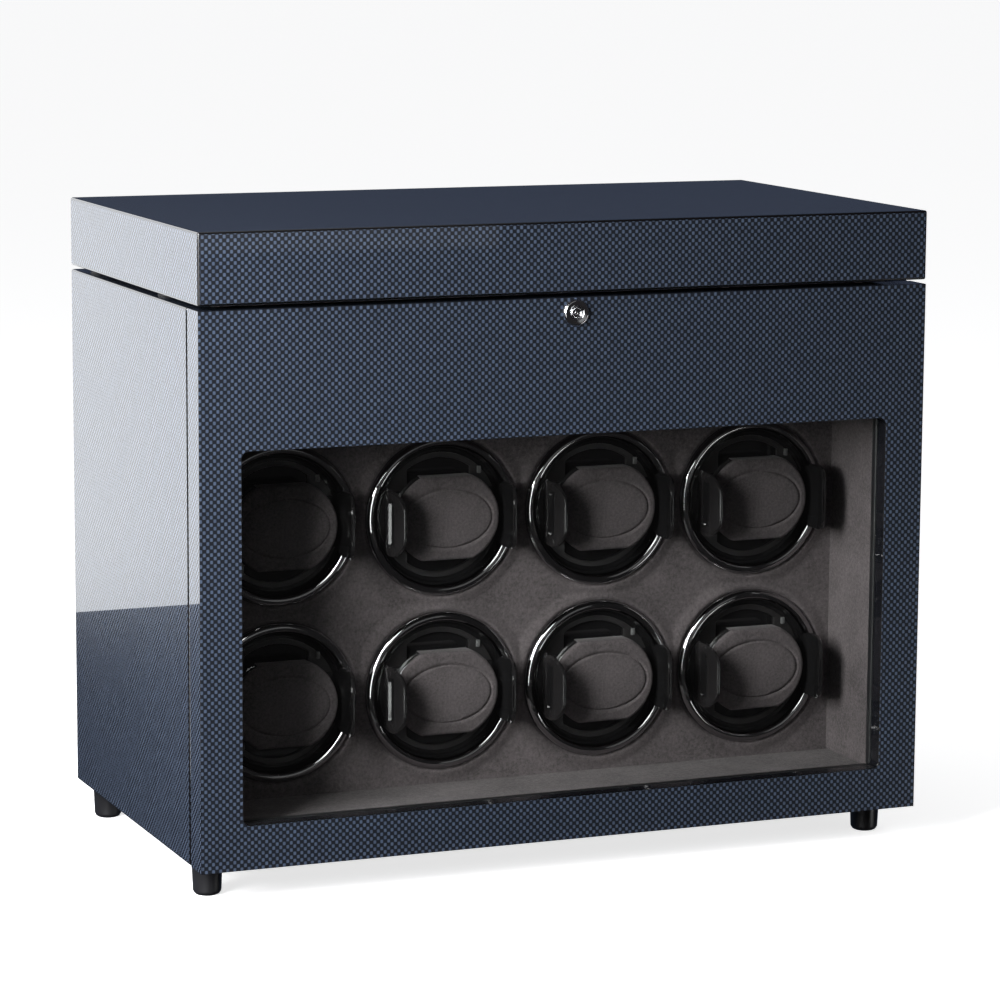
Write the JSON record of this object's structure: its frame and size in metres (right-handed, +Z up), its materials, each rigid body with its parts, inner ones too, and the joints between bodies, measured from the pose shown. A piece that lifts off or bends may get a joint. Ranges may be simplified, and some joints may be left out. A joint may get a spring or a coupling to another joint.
{
  "type": "watch winder box",
  "caption": "Free-standing watch winder box: turning rotors with padded watch holders behind a locking glazed door, and a lidded storage compartment above them.",
  "frame": {"origin": "on the floor under the middle of the whole object's footprint, hinge knuckles and lock included", "axes": "+X to the right as seen from the front, +Y from the door towards the back, +Z up"},
  "size_m": [0.4352, 0.245, 0.3636],
  "materials": {
    "carbon_lacquer": "high-gloss clear lacquer over a blue carbon-look plain weave",
    "black_board": "satin black paint",
    "suede_board": "board covered in taupe-grey suede",
    "suede": "taupe-grey suede",
    "rotor_plastic": "polished black moulding",
    "holder_plastic": "black springy moulding, half gloss",
    "foot_plastic": "satin black",
    "chrome": "polished",
    "hinge_steel": "nickel-plated",
    "motor_steel": "zinc-plated",
    "belt_rubber": "matt",
    "window_glass": "clear, polished",
    "display_glass": "polished black",
    "circuit_board": "green solder resist"
  },
  "bodies": {
    "case": {"left_side_panel": "carbon_lacquer", "right_side_panel": "carbon_lacquer", "bottom_panel": "carbon_lacquer", "back_panel": "black_board", "storage_tray": "suede_board", "rotor_panel": "suede_board", "drive_plate": "black_board", "foot_front_left": "foot_plastic", "foot_front_right": "foot_plastic", "foot_rear_left": "foot_plastic", "foot_rear_right": "foot_plastic", "lid_hinge_case_leaf": "hinge_steel", "lid_hinge_pin": "hinge_steel", "door_hinge_case_leaf": "hinge_steel", "door_hinge_pin": "hinge_steel", "control_display": "display_glass", "circuit_board": "circuit_board", "power_inlet": "rotor_plastic", "drive_motor_1": "motor_steel", "drive_motor_2": "motor_steel", "drive_motor_3": "motor_steel", "drive_motor_4": "motor_steel", "drive_belt_1": "belt_rubber", "drive_belt_2": "belt_rubber", "drive_belt_3": "belt_rubber", "drive_belt_4": "belt_rubber"},
    "lid": {"lid_shell": "carbon_lacquer", "lid_lining": "suede", "strike_plate": "chrome", "lid_hinge_lid_leaf": "hinge_steel"},
    "door": {"door_frame": "carbon_lacquer", "window_pane": "window_glass", "lock_housing": "chrome", "door_hinge_door_leaf": "hinge_steel"},
    "lock": {"lock_cylinder": "chrome", "lock_cam": "hinge_steel"},
    "rotor_1": {"rotor_cup_1": "rotor_plastic"},
    "holder_1": {"watch_holder_1": "holder_plastic", "holder_pad_1": "suede"},
    "rotor_2": {"rotor_cup_2": "rotor_plastic"},
    "holder_2": {"watch_holder_2": "holder_plastic", "holder_pad_2": "suede"},
    "rotor_3": {"rotor_cup_3": "rotor_plastic"},
    "holder_3": {"watch_holder_3": "holder_plastic", "holder_pad_3": "suede"},
    "rotor_4": {"rotor_cup_4": "rotor_plastic"},
    "holder_4": {"watch_holder_4": "holder_plastic", "holder_pad_4": "suede"},
    "rotor_5": {"rotor_cup_5": "rotor_plastic"},
    "holder_5": {"watch_holder_5": "holder_plastic", "holder_pad_5": "suede"},
    "rotor_6": {"rotor_cup_6": "rotor_plastic"},
    "holder_6": {"watch_holder_6": "holder_plastic", "holder_pad_6": "suede"},
    "rotor_7": {"rotor_cup_7": "rotor_plastic"},
    "holder_7": {"watch_holder_7": "holder_plastic", "holder_pad_7": "suede"},
    "rotor_8": {"rotor_cup_8": "rotor_plastic"},
    "holder_8": {"watch_holder_8": "holder_plastic", "holder_pad_8": "suede"}
  },
  "joints": [
    {"name": "lid_hinge", "type": "hinge", "parent": "case", "child": "lid", "pos_m": [-0.00265, 0.1201, 0.3234], "axis": [-1, 0, 0], "range_deg": [0, 95]},
    {"name": "door_hinge", "type": "hinge", "parent": "case", "child": "door", "pos_m": [0.21525, -0.1016, 0.1711], "axis": [0, 0, 1], "range_deg": [0, 110]},
    {"name": "lock_turn", "type": "hinge", "parent": "door", "child": "lock", "pos_m": [-0.00265, -0.1208, 0.3138], "axis": [0, 1, 0], "range_deg": [0, 90]},
    {"name": "rotor_spin_1", "type": "hinge", "parent": "case", "child": "rotor_1", "pos_m": [-0.14725, -0.0438, 0.1931], "axis": [0, -1, 0], "continuous": true},
    {"name": "rotor_spin_2", "type": "hinge", "parent": "case", "child": "rotor_2", "pos_m": [-0.05085, -0.0438, 0.1931], "axis": [0, -1, 0], "continuous": true},
    {"name": "rotor_spin_3", "type": "hinge", "parent": "case", "child": "rotor_3", "pos_m": [0.04555, -0.0438, 0.1931], "axis": [0, -1, 0], "continuous": true},
    {"name": "rotor_spin_4", "type": "hinge", "parent": "case", "child": "rotor_4", "pos_m": [0.14195, -0.0438, 0.1931], "axis": [0, -1, 0], "continuous": true},
    {"name": "rotor_spin_5", "type": "hinge", "parent": "case", "child": "rotor_5", "pos_m": [-0.14725, -0.0438, 0.0932], "axis": [0, -1, 0], "continuous": true},
    {"name": "rotor_spin_6", "type": "hinge", "parent": "case", "child": "rotor_6", "pos_m": [-0.05085, -0.0438, 0.0932], "axis": [0, -1, 0], "continuous": true},
    {"name": "rotor_spin_7", "type": "hinge", "parent": "case", "child": "rotor_7", "pos_m": [0.04555, -0.0438, 0.0932], "axis": [0, -1, 0], "continuous": true},
    {"name": "rotor_spin_8", "type": "hinge", "parent": "case", "child": "rotor_8", "pos_m": [0.14195, -0.0438, 0.0932], "axis": [0, -1, 0], "continuous": true},
    {"name": "holder_pull_1", "type": "slide", "parent": "rotor_1", "child": "holder_1", "axis": [0, -1, 0], "range_m": [0, 0.031]},
    {"name": "holder_pull_2", "type": "slide", "parent": "rotor_2", "child": "holder_2", "axis": [0, -1, 0], "range_m": [0, 0.031]},
    {"name": "holder_pull_3", "type": "slide", "parent": "rotor_3", "child": "holder_3", "axis": [0, -1, 0], "range_m": [0, 0.031]},
    {"name": "holder_pull_4", "type": "slide", "parent": "rotor_4", "child": "holder_4", "axis": [0, -1, 0], "range_m": [0, 0.031]},
    {"name": "holder_pull_5", "type": "slide", "parent": "rotor_5", "child": "holder_5", "axis": [0, -1, 0], "range_m": [0, 0.031]},
    {"name": "holder_pull_6", "type": "slide", "parent": "rotor_6", "child": "holder_6", "axis": [0, -1, 0], "range_m": [0, 0.031]},
    {"name": "holder_pull_7", "type": "slide", "parent": "rotor_7", "child": "holder_7", "axis": [0, -1, 0], "range_m": [0, 0.031]},
    {"name": "holder_pull_8", "type": "slide", "parent": "rotor_8", "child": "holder_8", "axis": [0, -1, 0], "range_m": [0, 0.031]}
  ],
  "couplings": [
    {"joint": "rotor_spin_5", "follows": "rotor_spin_1", "ratio": 1},
    {"joint": "rotor_spin_6", "follows": "rotor_spin_2", "ratio": 1},
    {"joint": "rotor_spin_7", "follows": "rotor_spin_3", "ratio": 1},
    {"joint": "rotor_spin_8", "follows": "rotor_spin_4", "ratio": 1}
  ]
}
